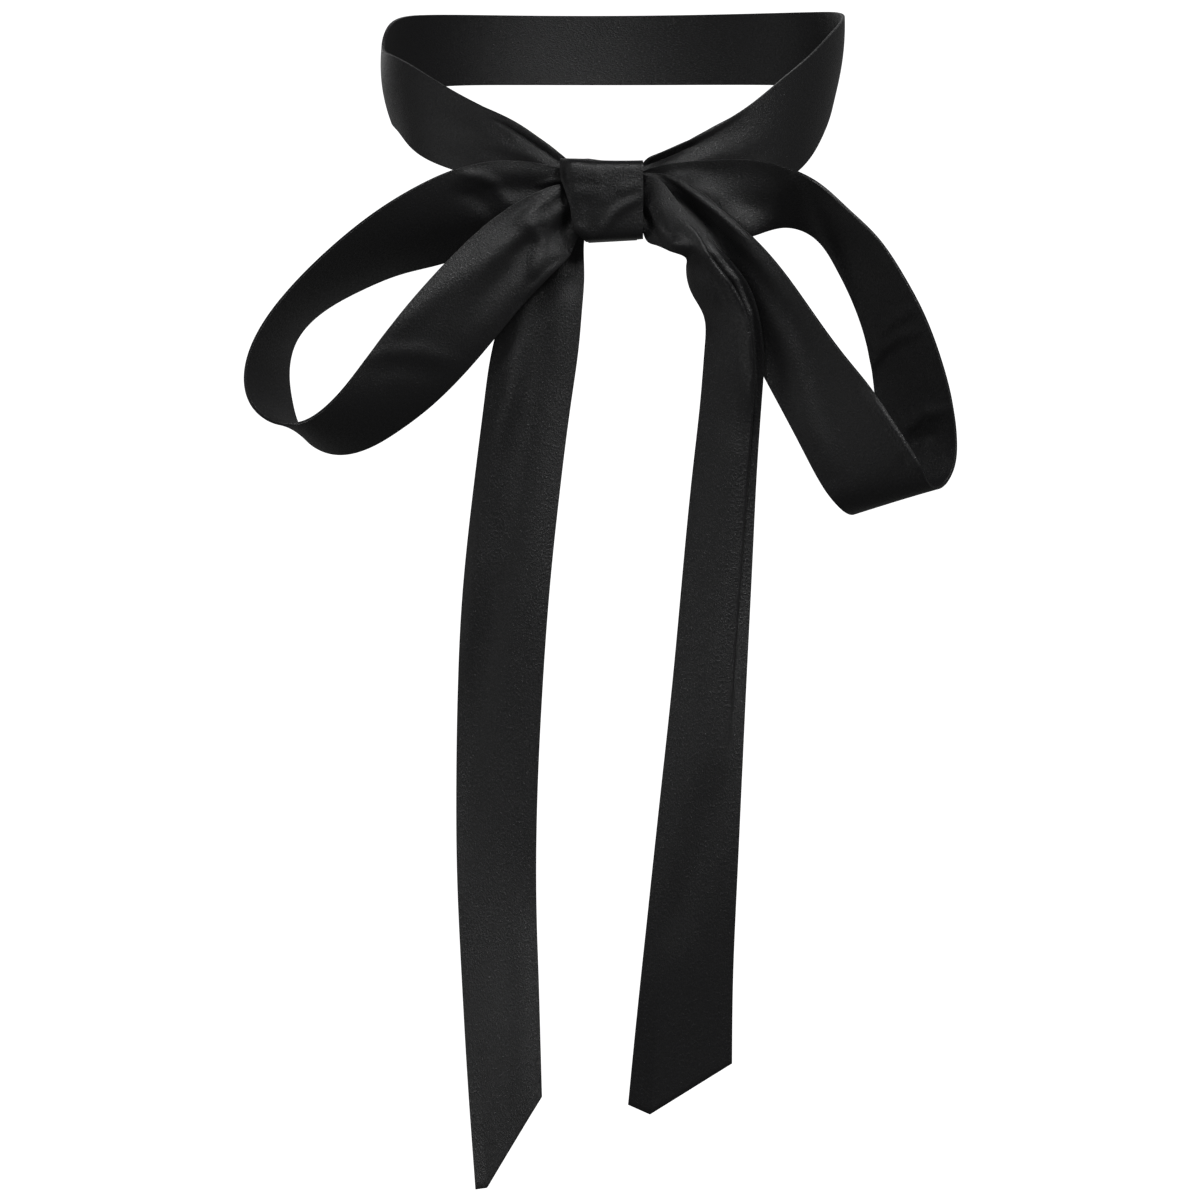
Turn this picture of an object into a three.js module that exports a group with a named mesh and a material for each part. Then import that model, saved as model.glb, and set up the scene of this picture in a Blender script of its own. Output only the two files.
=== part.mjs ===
import * as THREE from 'three';

// Self-tie bow tie in black satin ribbon, as it hangs when worn.
// Millimetres. +X is right in the front view, +Y runs away from the viewer, +Z is up.
// The origin is the centre of the neck ring.

const WALL = 1.1;
const TAIL_WALL = 1.1;
const KNOT_WALL = 1.2;

// Neck ring, measured to the middle of the ribbon
const NECK_HALF_ACROSS = 70.5;
const NECK_HALF_DEEP = 61;

// Knot
const KNOT_MIDDLE_Y = -67.0;
const KNOT_MIDDLE_Z = -36.0;
const KNOT_HALF_DEEP = 10.2;
const KNOT_HALF_HIGH = 12.2;
const KNOT_LEAN = 0.4;
const KNOT_SQUARENESS = 10;
const KNOT_RIGHT_FRONT = 9;
const KNOT_RIGHT_BACK = 7.2;
const KNOT_LEFT_BACK = -7.4;

// The left end of the wrap is turned in by the tuck, and further in above its middle
const KNOT_TUCK = 1.8;
const KNOT_TUCK_ABOVE = 0.8;
const KNOT_TUCK_RISE = [0.2, 0.6];
const KNOT_TUCK_REACH = 1.8;
const KNOT_SWELL = 0.4;
const KNOT_FRONT_FROM = 0.5;
const KNOT_AROUND = 36;
const KNOT_SLICES = [0, 0.05, 0.11, 0.25, 0.45, 0.65, 0.85, 1];

// Left end of the wrap in front: share of the half height, and x
const KNOT_LEFT_EDGE = [
  [-1, -8.2],
  [-0.85, -10.6],
  [-0.6, -12.0],
  [-0.1, -13.0],
  [0.25, -14.4],
  [0.5, -15.4],
  [1, -15.7],
];

// The edges are set out as they stand in the front view of an eye far in front of the plane y = FRONT
const FRONT = -70;
const EYE_X = -3.9;
const EYE_Z = -156;
const EYE_AWAY = 3000;

// Black satin
const SATIN = 0x131315;
const SATIN_EDGE = 0x161618;
const SATIN_ROUGHNESS = 0.42;

// Each loop row is one section of the ribbon, from the knot out along the back strand and home again.
// rim is the edge nearer to the viewer, inner the farther one. Crown bows the section, gather pleats it.
const LOOP_COLUMNS = ['rimX', 'rimZ', 'rimY', 'innerX', 'innerZ', 'innerY', 'crown', 'gather'];
const LEFT_LOOP = [
  [-1.0, -28.5, -67.0, -1.0, -41.0, -67.0, 0.0, 0.6],
  [-8.0, -28.2, -68.6, -8.0, -42.0, -67.0, 0.0, 0.6],
  [-15.0, -26.6, -70.5, -14.5, -43.5, -66.6, 0.0, 0.5],
  [-29.0, -24.2, -71.4, -26.0, -46.5, -66.8, 0.2, 0.8],
  [-43.0, -25.5, -75.0, -38.0, -50.0, -64.0, 1.0, 0.5],
  [-57.0, -31.0, -80.0, -50.0, -54.5, -61.5, 1.8, 0.0],
  [-72.0, -40.2, -84.0, -63.0, -57.8, -60.0, 2.0, 0.0],
  [-86.0, -51.7, -86.0, -76.0, -63.0, -60.0, 1.8, 0.0],
  [-98.0, -64.0, -87.0, -88.0, -70.0, -60.0, 1.5, 0.0],
  [-106.5, -76.0, -87.5, -95.3, -78.5, -60.5, 1.2, 0.0],
  [-110.4, -88.5, -88.0, -97.4, -88.5, -61.5, 1.0, 0.0],
  [-108.0, -97.9, -88.5, -96.4, -97.0, -63.0, 0.8, 0.0],
  [-102.5, -102.3, -89.5, -94.6, -103.3, -65.0, 0.5, 0.0],
  [-97.0, -103.3, -90.5, -91.0, -108.6, -67.5, 0.2, 0.0],
  [-92.0, -102.2, -91.0, -84.8, -111.8, -70.0, -0.2, 0.0],
  [-86.0, -98.0, -90.5, -76.0, -111.2, -72.5, -0.6, 0.0],
  [-79.0, -90.2, -89.0, -65.0, -105.5, -74.5, -1.0, 0.0],
  [-70.0, -78.0, -86.0, -53.0, -96.3, -76.0, -1.4, 0.0],
  [-58.0, -63.3, -82.5, -38.5, -81.0, -76.5, -1.5, 0.2],
  [-45.0, -49.5, -79.0, -26.0, -66.0, -75.0, -1.2, 0.7],
  [-32.0, -38.7, -76.0, -16.5, -56.3, -73.2, -0.8, 1.1],
  [-22.0, -33.2, -74.2, -12.6, -51.8, -71.6, -0.4, 1.0],
  [-15.0, -31.2, -72.0, -11.2, -48.4, -71.0, 0.0, 0.7],
  [-8.0, -31.0, -70.6, -8.4, -45.0, -70.6, 0.0, 0.6],
  [-1.0, -31.0, -70.6, -1.0, -44.5, -70.6, 0.0, 0.6],
];
const RIGHT_LOOP = [
  [1.0, -28.5, -63.6, 1.0, -41.0, -63.6, 0.0, 0.6],
  [6.0, -28.2, -63.6, 5.5, -42.0, -63.6, 0.0, 0.6],
  [12.0, -26.2, -66.0, 11.0, -44.0, -64.6, 0.0, 0.7],
  [23.0, -24.4, -68.0, 20.0, -46.8, -65.5, 0.0, 0.9],
  [36.5, -23.8, -71.5, 31.5, -48.3, -68.6, 0.4, 0.5],
  [49.0, -25.3, -75.8, 42.5, -46.7, -68.4, 1.0, 0.2],
  [60.0, -30.0, -80.4, 51.0, -44.2, -65.0, 1.6, 0.0],
  [70.0, -38.5, -83.2, 60.8, -47.5, -61.0, 1.8, 0.0],
  [79.0, -47.2, -83.5, 67.0, -56.3, -59.5, 1.8, 0.0],
  [86.5, -58.0, -82.6, 71.8, -66.2, -61.5, 1.6, 0.0],
  [93.0, -70.0, -81.8, 75.6, -77.0, -63.5, 1.4, 0.0],
  [98.0, -83.0, -81.2, 78.0, -89.0, -64.5, 1.2, 0.0],
  [101.5, -96.0, -81.0, 79.0, -100.0, -65.5, 1.0, 0.0],
  [103.0, -108.0, -81.2, 79.0, -109.0, -66.5, 0.8, 0.0],
  [102.2, -116.3, -82.5, 77.5, -117.5, -68.0, 0.6, 0.0],
  [99.8, -120.8, -84.5, 75.3, -124.5, -67.5, 0.3, 0.0],
  [97.3, -122.3, -87.5, 73.0, -129.4, -71.0, 0.0, 0.0],
  [95.0, -121.3, -90.0, 70.6, -129.9, -75.5, 0.0, 0.0],
  [92.5, -116.3, -91.5, 67.6, -127.8, -79.0, -0.3, 0.0],
  [87.5, -107.8, -91.5, 63.5, -122.8, -80.0, -0.6, 0.0],
  [79.0, -94.7, -90.0, 56.5, -110.0, -79.0, -1.0, 0.0],
  [69.0, -82.2, -87.5, 48.5, -95.0, -77.0, -1.2, 0.0],
  [57.5, -66.3, -84.5, 39.5, -78.0, -74.5, -1.0, 0.4],
  [46.0, -51.3, -81.0, 30.5, -62.0, -72.0, -0.6, 0.7],
  [34.0, -39.7, -77.5, 21.5, -52.3, -70.8, -0.3, 0.9],
  [23.0, -31.3, -74.0, 14.5, -47.0, -70.6, 0.0, 0.9],
  [13.5, -28.0, -71.4, 9.5, -44.6, -70.8, 0.0, 0.7],
  [6.0, -28.0, -71.3, 5.0, -43.8, -71.3, 0.0, 0.6],
  [1.0, -28.0, -71.3, 1.0, -43.5, -71.3, 0.0, 0.6],
];

// Each neck row is one section: degrees round the neck from the front, right side positive,
// height of the upper and the lower edge, and how far the edge stands off the neck ellipse.
const NECK_COLUMNS = ['topAt', 'topZ', 'topOut', 'lowAt', 'lowZ', 'lowOut', 'crown', 'gather'];
const NECK_RIGHT = [
  [0.8, -28.5, 0.0, 0.8, -39.0, 0.0, 0.0, 0.6],
  [5.0, -27.8, 0.0, 5.0, -39.0, 0.0, 0.0, 0.6],
  [7.6, -24.5, 0.0, 8.0, -38.8, 0.0, 0.0, 0.5],
  [9.6, -22.5, 0.0, 12.0, -38.4, 0.0, 0.0, 0.7],
  [15.5, -19.3, 0.0, 19.0, -37.5, 0.0, 0.0, 0.8],
  [25.0, -13.7, 0.0, 31.0, -35.0, 0.0, -0.4, 0.6],
  [35.2, -7.0, 0.0, 43.0, -31.0, 0.0, -0.8, 0.2],
  [46.2, 1.5, 0.0, 54.5, -25.0, -0.8, -1.0, 0.0],
  [57.0, 8.8, 0.2, 64.5, -18.0, -2.0, -1.0, 0.0],
  [68.5, 16.0, 0.4, 75.0, -9.2, -2.5, -1.0, 0.0],
  [81.0, 21.2, 0.5, 86.0, -3.0, -3.0, -1.0, 0.0],
  [96.0, 24.4, 0.0, 98.5, 0.5, -2.5, -1.0, 0.0],
  [118.0, 26.2, 0.0, 119.0, 3.2, -1.5, -0.6, 0.0],
  [148.0, 26.9, 0.0, 148.0, 4.8, -0.5, -0.3, 0.0],
];
const NECK_BACK = [180.0, 26.9, 0.0, 180.0, 5.2, 0.0, -0.2, 0.0];
const NECK_LEFT = [
  [-0.8, -28.5, 0.0, -0.8, -39.0, 0.0, 0.0, 0.6],
  [-6.0, -28.4, 0.0, -6.0, -39.0, 0.0, 0.0, 0.6],
  [-8.8, -26.3, 0.0, -9.2, -38.4, 0.0, 0.0, 0.6],
  [-12.0, -22.6, 0.0, -13.5, -37.0, 0.0, 0.0, 0.7],
  [-17.0, -18.0, 0.0, -20.0, -34.5, 0.0, 0.0, 0.8],
  [-24.0, -12.4, 0.0, -29.5, -30.5, 0.0, -0.2, 0.7],
  [-32.5, -7.6, 0.0, -39.5, -27.0, 0.0, -0.6, 0.5],
  [-42.0, -2.6, 0.0, -50.0, -23.4, 0.0, -0.8, 0.2],
  [-53.0, 3.2, 0.0, -60.5, -18.6, -0.6, -1.0, 0.0],
  [-64.0, 8.0, 0.2, -70.5, -13.4, -1.8, -1.2, 0.0],
  [-76.0, 11.0, 0.2, -81.0, -10.4, -2.6, -1.4, 0.0],
  [-90.0, 14.2, 0.0, -93.0, -7.4, -3.0, -1.4, 0.0],
  [-104.0, 21.6, 0.0, -107.0, -1.5, -2.5, -1.2, 0.0],
  [-124.0, 25.6, 0.0, -125.0, 3.0, -1.5, -0.8, 0.0],
  [-150.0, 26.6, 0.0, -150.0, 4.8, -0.5, -0.3, 0.0],
];

// Tail rows run from the knot down to the slanted end: left edge, right edge, bow and gathers.
const TAIL_COLUMNS = ['leftX', 'leftZ', 'leftY', 'rightX', 'rightZ', 'rightY', 'crown', 'gather', 'pleat'];
const LEFT_TAIL = [
  [-4.0, -34.0, -64.2, -3.0, -44.0, -64.2, 0.0, 0.5, 0],
  [-10.5, -36.0, -63.9, -7.4, -45.6, -64.0, 0.0, 0.5, 0],
  [-18.0, -43.0, -62.6, -8.8, -50.0, -63.4, 0.0, 0.6, 0],
  [-25.0, -53.0, -63.2, -8.6, -58.5, -64.6, 0.3, 0.6, 0],
  [-31.5, -66.0, -64.6, -9.2, -68.0, -65.8, 0.6, 0.2, 0],
  [-35.8, -79.0, -65.2, -10.2, -79.5, -66.6, 0.8, 0.0, 0],
  [-38.6, -97.0, -65.6, -12.6, -97.0, -68.0, 1.2, 0.0, 0],
  [-41.8, -124.0, -66.0, -16.0, -124.0, -70.8, 1.6, 0.0, 0],
  [-44.8, -153.0, -67.0, -19.0, -153.0, -73.8, 1.6, 0.0, 0],
  [-46.5, -185.0, -69.4, -21.3, -185.0, -76.2, 1.0, 0.0, 0],
  [-47.0, -215.0, -73.0, -22.7, -215.0, -78.2, 0.6, 0.0, 0],
  [-46.5, -245.0, -77.6, -23.0, -245.0, -81.0, 0.4, 0.0, 0],
  [-45.2, -272.0, -82.4, -22.4, -266.0, -84.0, 0.4, 0.0, 0],
  [-43.4, -303.0, -88.2, -21.8, -286.0, -87.6, 0.5, 0.0, 0],
  [-41.3, -332.8, -94.4, -21.3, -305.0, -91.4, 0.6, 0.0, 0],
];
const RIGHT_TAIL = [
  [1.0, -43.4, -74.0, 1.0, -28.2, -74.0, 0.0, 0.5, 0],
  [8.0, -42.4, -73.5, 8.0, -28.4, -73.5, 0.0, 0.4, 0],
  [10.1, -47.8, -73.8, 10.2, -28.6, -74.2, 0.6, 0.4, 0],
  [12.7, -49.4, -75.4, 13.0, -29.4, -75.0, 1.4, 0.4, 0],
  [17.5, -51.3, -78.0, 19.0, -36.2, -77.6, 1.4, 0.1, 0],
  [21.6, -53.0, -77.6, 25.2, -43.8, -80.0, 1.2, 0.0, 0.2],
  [22.4, -57.5, -70.0, 31.0, -52.0, -82.0, 2.6, 0.0, 0.7],
  [24.0, -63.8, -69.5, 37.3, -60.3, -83.2, 2.6, 0.0, 1],
  [27.5, -70.5, -71.5, 41.2, -69.0, -83.6, 1.4, 0.0, 1],
  [27.8, -80.0, -74.0, 43.5, -80.0, -83.6, 0.8, 0.0, 1],
  [26.6, -94.0, -75.6, 43.7, -94.0, -82.2, 0.6, 0.0, 1],
  [24.2, -116.0, -76.6, 42.7, -116.0, -81.2, 1.0, 0.0, 0.9],
  [21.2, -146.0, -78.8, 41.5, -146.0, -82.4, 1.2, 0.0, 0.65],
  [18.0, -180.0, -82.6, 40.0, -180.0, -85.2, 1.0, 0.0, 0.3],
  [14.3, -214.0, -86.4, 38.5, -214.0, -88.2, 0.6, 0.0, 0.05],
  [10.6, -248.0, -88.8, 37.1, -244.0, -89.4, 0.2, 0.0, 0],
  [7.2, -280.0, -89.0, 36.0, -271.0, -88.8, 0.0, 0.0, 0],
  [4.5, -307.4, -88.2, 35.7, -295.0, -87.4, 0.0, 0.0, 0],
];

// The slanted ends hang lowest a little way in from their left corner: share of the width, and how far
const LEFT_CORNER = { place: 0.175, drop: 4.4 };
const RIGHT_CORNER = { place: 0.21, drop: 5.5 };
const CORNER_REACH = 40;

// Folds and dents as the front view shows them: the stretch of ribbon that has them (from and to, along
// it), half width, height towards the viewer, and the line of points x, z that they follow
const FOLD_COLUMNS = ['from', 'to', 'half', 'tall', 'line'];
const LEFT_LOOP_FOLDS = [
  [160, 275, 4.5, 1.3, [[-24, -39.5], [-38, -52], [-54, -64.5], [-72, -80]]],
  [180, 275, 2.4, 1.2, [[-20, -40], [-23.6, -44], [-21.6, -49], [-24.5, -60]]],
  [150, 240, 2.2, 1.3, [[-76, -84], [-68, -81.5], [-58, -81.5], [-46, -85]]],
  [0, 120, 2.6, -0.8, [[-50, -33], [-42, -34.5], [-38, -38], [-34, -43]]],
  [60, 140, 3.0, 0.5, [[-100, -72], [-95, -79], [-93, -90]]],
];
const RIGHT_LOOP_FOLDS = [
  [0, 120, 5.0, 2.6, [[14, -30.5], [24, -34], [34, -40.5], [44, -48], [50, -52]]],
  [30, 140, 2.8, 1.7, [[54, -27], [58.5, -33.5], [63, -44], [68, -57], [72, -68]]],
  [80, 170, 2.2, 2.2, [[82, -114], [88, -104.5], [94, -100], [102, -99]]],
  [170, 300, 4.5, 1.4, [[36, -46], [45, -60], [52, -78], [59, -104], [66, -120]]],
  [200, 300, 2.6, -1.2, [[13, -29.5], [20, -34.5], [29, -46], [38, -60], [45, -76]]],
];
const NECK_FOLDS = [
  [0, 70, 2.4, 0.4, [[13, -27], [24, -24.5], [34, -19.5]]],
  [370, 440, 2.4, 0.4, [[-33, -13.5], [-29, -18.5], [-25, -20.9], [-18, -23.3]]],
];
const LEFT_TAIL_FOLDS = [
  [30, 320, 3.6, 1.5, [[-25, -62], [-28, -75], [-31.5, -95], [-36.5, -112], [-40, -132], [-44.5, -178]]],
  [30, 320, 4.4, -1.4, [[-20, -66], [-22, -80], [-28, -120], [-37, -170], [-43, -208], [-45.5, -236]]],
  [180, 330, 3.4, 0.5, [[-26.5, -250], [-27, -280], [-27.5, -312]]],
];
const RIGHT_TAIL_FOLDS = [
  [0, 140, 1.8, 0.7, [[13, -33], [22.2, -44.2], [29.8, -53.9], [35.6, -61], [39.5, -71], [41, -96]]],
  [0, 60, 2.4, -0.8, [[9, -40], [13, -45], [18.5, -49]]],
  [20, 90, 2.4, -1.6, [[12, -56.5], [20, -56], [26, -56.2], [29.5, -58.5], [33, -64], [35, -72]]],
  [20, 90, 2.0, 1.2, [[9, -45], [17.5, -48.8], [24, -50.4], [29.5, -53], [34, -59.5], [37, -70]]],
  [90, 260, 4.2, 0.6, [[36.5, -86], [36.5, -112], [33, -150], [28, -190], [22, -222]]],
  [140, 320, 5.0, -0.6, [[33, -205], [26, -232], [16, -262]]],
];
const FOLD_FADE = 0.3;
const FOLD_RAMP = 6;

// Shares of the ribbon width where it is divided, close together over the knife pleat
const EVEN = [0, 0.12, 0.25, 0.375, 0.5, 0.625, 0.75, 0.88, 1];
const PLEATED = [0, 0.14, 0.28, 0.42, 0.54, 0.63, 0.7, 0.755, 0.8, 0.845, 0.89, 0.935, 1];
const PLEAT_AT = 0.815;
const PLEAT_REACH = 0.06;
const PLEAT_BACK = 2.4;
const PLEAT_LAYERS = 3.2;
const PLEAT_SHARPNESS = 1.1;
const SECTION_CUTS = 2;
const HALF_STEP = 0.2;
const GATHER_FOLDS = 2;
const GATHER_DEPTH = 0.7;

function rowsAs(columns, rows) {
  return rows.map((row) => Object.fromEntries(columns.map((name, i) => [name, row[i]])));
}

// Point of the object that the front view shows at x, z when it stands at depth y
function placed(x, z, y) {
  const far = 1 + (y - FRONT) / EYE_AWAY;
  return new THREE.Vector3(EYE_X + (x - EYE_X) * far, y, EYE_Z + (z - EYE_Z) * far);
}

function onNeck(degrees, z, out) {
  const angle = THREE.MathUtils.degToRad(degrees);
  const across = (NECK_HALF_ACROSS + out) * Math.sin(angle);
  const deep = -(NECK_HALF_DEEP + out) * Math.cos(angle);
  return new THREE.Vector3(across, deep, z);
}

// Natural cubic curve through the values at the given stations
function curveThrough(stations, values) {
  const last = stations.length - 1;
  const slope = new Array(last + 1).fill(0);
  const share = new Array(last + 1).fill(0);
  const bend = new Array(last + 1).fill(0);
  for (let i = 1; i < last; i += 1) {
    const before = stations[i] - stations[i - 1];
    const after = stations[i + 1] - stations[i];
    const turn = (values[i + 1] - values[i]) / after - (values[i] - values[i - 1]) / before;
    const pivot = 2 * (before + after) - before * share[i - 1];
    share[i] = after / pivot;
    slope[i] = (6 * turn - before * slope[i - 1]) / pivot;
  }
  for (let i = last - 1; i > 0; i -= 1) {
    bend[i] = slope[i] - share[i] * bend[i + 1];
  }
  return (at) => {
    let i = 0;
    while (i < last - 1 && at > stations[i + 1]) i += 1;
    const step = stations[i + 1] - stations[i];
    const right = (at - stations[i]) / step;
    const left = 1 - right;
    const sag = (step * step) / 6;
    const bowed = (left ** 3 - left) * bend[i] + (right ** 3 - right) * bend[i + 1];
    return left * values[i] + right * values[i + 1] + sag * bowed;
  };
}

function edgeCurve(stations, points) {
  const x = curveThrough(stations, points.map((p) => p.x));
  const y = curveThrough(stations, points.map((p) => p.y));
  const z = curveThrough(stations, points.map((p) => p.z));
  return (at) => new THREE.Vector3(x(at), y(at), z(at));
}

// 1 between two stations, falling to 0 over the given reach about each of them
function rampBetween(value, start, end, reach) {
  const rise = THREE.MathUtils.smoothstep(value, start - reach / 2, start + reach / 2);
  return rise * (1 - THREE.MathUtils.smoothstep(value, end - reach / 2, end + reach / 2));
}

// Height of the folds at a point that lies `at` along the ribbon
function foldHeight(folds, point, at) {
  const far = 1 + (point.y - FRONT) / EYE_AWAY;
  const x = EYE_X + (point.x - EYE_X) / far;
  const z = EYE_Z + (point.z - EYE_Z) / far;
  let height = 0;
  for (const fold of folds) {
    let nearest = Infinity;
    let where = 0;
    let passed = 0;
    for (let k = 1; k < fold.line.length; k += 1) {
      const [startX, startZ] = fold.line[k - 1];
      const runX = fold.line[k][0] - startX;
      const runZ = fold.line[k][1] - startZ;
      const run = Math.hypot(runX, runZ);
      const ahead = THREE.MathUtils.clamp(((x - startX) * runX + (z - startZ) * runZ) / run, 0, run);
      const away = Math.hypot(x - startX - (ahead * runX) / run, z - startZ - (ahead * runZ) / run);
      if (away < nearest) {
        nearest = away;
        where = passed + ahead;
      }
      passed += run;
    }
    const fade = rampBetween(where, 0, passed, FOLD_FADE * passed);
    const inside = rampBetween(at, fold.from, fold.to, 2 * FOLD_RAMP);
    height += fold.tall * Math.sqrt(fade) * inside * Math.exp(-((nearest / fold.half) ** 2));
  }
  return height;
}

// Middle surface of a ribbon: one row of points per section
function surface(first, second, crown, gather, pleat, folds, shares) {
  const stations = [0];
  for (let i = 1; i < first.length; i += 1) {
    const here = first[i].clone().add(second[i]);
    const before = first[i - 1].clone().add(second[i - 1]);
    stations.push(stations[i - 1] + here.distanceTo(before) / 2);
  }
  const firstEdge = edgeCurve(stations, first);
  const secondEdge = edgeCurve(stations, second);
  const crownAt = curveThrough(stations, crown);
  const gatherAt = curveThrough(stations, gather);
  const pleatAt = curveThrough(stations, pleat);
  const middle = (at) => firstEdge(at).add(secondEdge(at)).multiplyScalar(0.5);
  const marks = [];
  for (let i = 1; i < stations.length; i += 1) {
    for (let k = 0; k < SECTION_CUTS; k += 1) {
      marks.push(THREE.MathUtils.lerp(stations[i - 1], stations[i], k / SECTION_CUTS));
    }
  }
  marks.push(stations[stations.length - 1]);
  const end = stations[stations.length - 1];
  return marks.map((at) => {
    const a = firstEdge(at);
    const across = secondEdge(at).sub(a);
    const ahead = middle(Math.min(at + HALF_STEP, end)).sub(middle(Math.max(at - HALF_STEP, 0)));
    const out = ahead.clone().cross(across).normalize();
    const width = across.length();
    const unit = across.clone().normalize();
    return shares.map((share) => {
      const bow = crownAt(at) * 4 * share * (1 - share);
      const inside = Math.sqrt(Math.sin(Math.PI * share));
      const wave = Math.max(gatherAt(at), 0) * Math.sin(2 * Math.PI * GATHER_FOLDS * share) * inside;
      const strength = Math.max(pleatAt(at), 0);
      const t = (share - PLEAT_AT) / PLEAT_REACH;
      const shift = -strength * PLEAT_BACK * t * Math.exp((1 - t * t) / 2);
      const layer = strength * PLEAT_LAYERS * 0.5 * (1 + Math.tanh(PLEAT_SHARPNESS * t));
      const point = a.clone().addScaledVector(unit, share * width + shift)
        .addScaledVector(out, bow + GATHER_DEPTH * wave - layer);
      point.y -= foldHeight(folds, point, at);
      return point;
    });
  });
}

function normalsOf(grid) {
  const last = grid.length - 1;
  return grid.map((row, i) => row.map((point, j) => {
    const along = grid[Math.min(i + 1, last)][j].clone().sub(grid[Math.max(i - 1, 0)][j]);
    const left = Math.max(j - 1, 0);
    const right = Math.min(j + 1, row.length - 1);
    return along.cross(row[right].clone().sub(row[left])).normalize();
  }));
}

function solid(positions, faces) {
  let volume = 0;
  for (const [a, b, c] of faces) {
    volume += positions[a].dot(positions[b].clone().cross(positions[c])) / 6;
  }
  const geometry = new THREE.BufferGeometry();
  const flat = positions.flatMap((p) => [p.x, p.y, p.z]);
  geometry.setAttribute('position', new THREE.Float32BufferAttribute(flat, 3));
  geometry.setIndex(faces.flatMap(([a, b, c]) => (volume > 0 ? [a, b, c] : [a, c, b])));
  geometry.computeVertexNormals();
  return geometry;
}

// Closed wall of even thickness about a middle surface
function walled(grid, wall) {
  const normals = normalsOf(grid);
  const wide = grid[0].length;
  const deep = grid.length;
  const positions = [];
  for (const side of [0.5, -0.5]) {
    grid.forEach((row, i) => row.forEach((point, j) => {
      positions.push(point.clone().addScaledVector(normals[i][j], side * wall));
    }));
  }
  const at = (side, i, j) => side * wide * deep + i * wide + j;
  const faces = [];
  const quad = (a, b, c, d) => faces.push([a, b, c], [a, c, d]);
  for (let i = 0; i < deep - 1; i += 1) {
    for (let j = 0; j < wide - 1; j += 1) {
      quad(at(0, i, j), at(0, i + 1, j), at(0, i + 1, j + 1), at(0, i, j + 1));
      quad(at(1, i, j), at(1, i, j + 1), at(1, i + 1, j + 1), at(1, i + 1, j));
    }
    quad(at(0, i, 0), at(1, i, 0), at(1, i + 1, 0), at(0, i + 1, 0));
    quad(at(0, i, wide - 1), at(0, i + 1, wide - 1), at(1, i + 1, wide - 1), at(1, i, wide - 1));
  }
  for (let j = 0; j < wide - 1; j += 1) {
    quad(at(0, 0, j), at(0, 0, j + 1), at(1, 0, j + 1), at(1, 0, j));
    quad(at(0, deep - 1, j), at(1, deep - 1, j), at(1, deep - 1, j + 1), at(0, deep - 1, j + 1));
  }
  return solid(positions, faces);
}

function loopSurface(rows, folds) {
  const sections = rowsAs(LOOP_COLUMNS, rows);
  const rim = sections.map((s) => placed(s.rimX, s.rimZ, s.rimY));
  const inner = sections.map((s) => placed(s.innerX, s.innerZ, s.innerY));
  const crown = sections.map((s) => s.crown);
  const gather = sections.map((s) => s.gather);
  return surface(rim, inner, crown, gather, gather.map(() => 0), folds, EVEN);
}

function neckSurface() {
  const wholeTurn = ([topAt, topZ, topOut, lowAt, ...rest]) =>
    [topAt + 360, topZ, topOut, lowAt + 360, ...rest];
  const rows = [...NECK_RIGHT, NECK_BACK, ...[...NECK_LEFT].reverse().map(wholeTurn)];
  const sections = rowsAs(NECK_COLUMNS, rows);
  const top = sections.map((s) => onNeck(s.topAt, s.topZ, s.topOut));
  const low = sections.map((s) => onNeck(s.lowAt, s.lowZ, s.lowOut));
  const crown = sections.map((s) => s.crown);
  const gather = sections.map((s) => s.gather);
  return surface(top, low, crown, gather, gather.map(() => 0), rowsAs(FOLD_COLUMNS, NECK_FOLDS), EVEN);
}

function tailSurface(rows, folds, shares, corner) {
  const sections = rowsAs(TAIL_COLUMNS, rows);
  const left = sections.map((s) => placed(s.leftX, s.leftZ, s.leftY));
  const right = sections.map((s) => placed(s.rightX, s.rightZ, s.rightY));
  const column = (name) => sections.map((s) => s[name]);
  const grid = surface(left, right, column('crown'), column('gather'), column('pleat'), folds, shares);
  const end = left[left.length - 1].clone().lerp(right[right.length - 1], 0.5);
  for (const line of grid) {
    const toEnd = line[0].clone().lerp(line[line.length - 1], 0.5).distanceTo(end);
    const near = 1 - THREE.MathUtils.smoothstep(toEnd, 0, CORNER_REACH);
    line.forEach((point, j) => {
      const low = Math.min(shares[j] / corner.place, (1 - shares[j]) / (1 - corner.place));
      point.z -= corner.drop * low * near;
    });
  }
  return grid;
}

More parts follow.
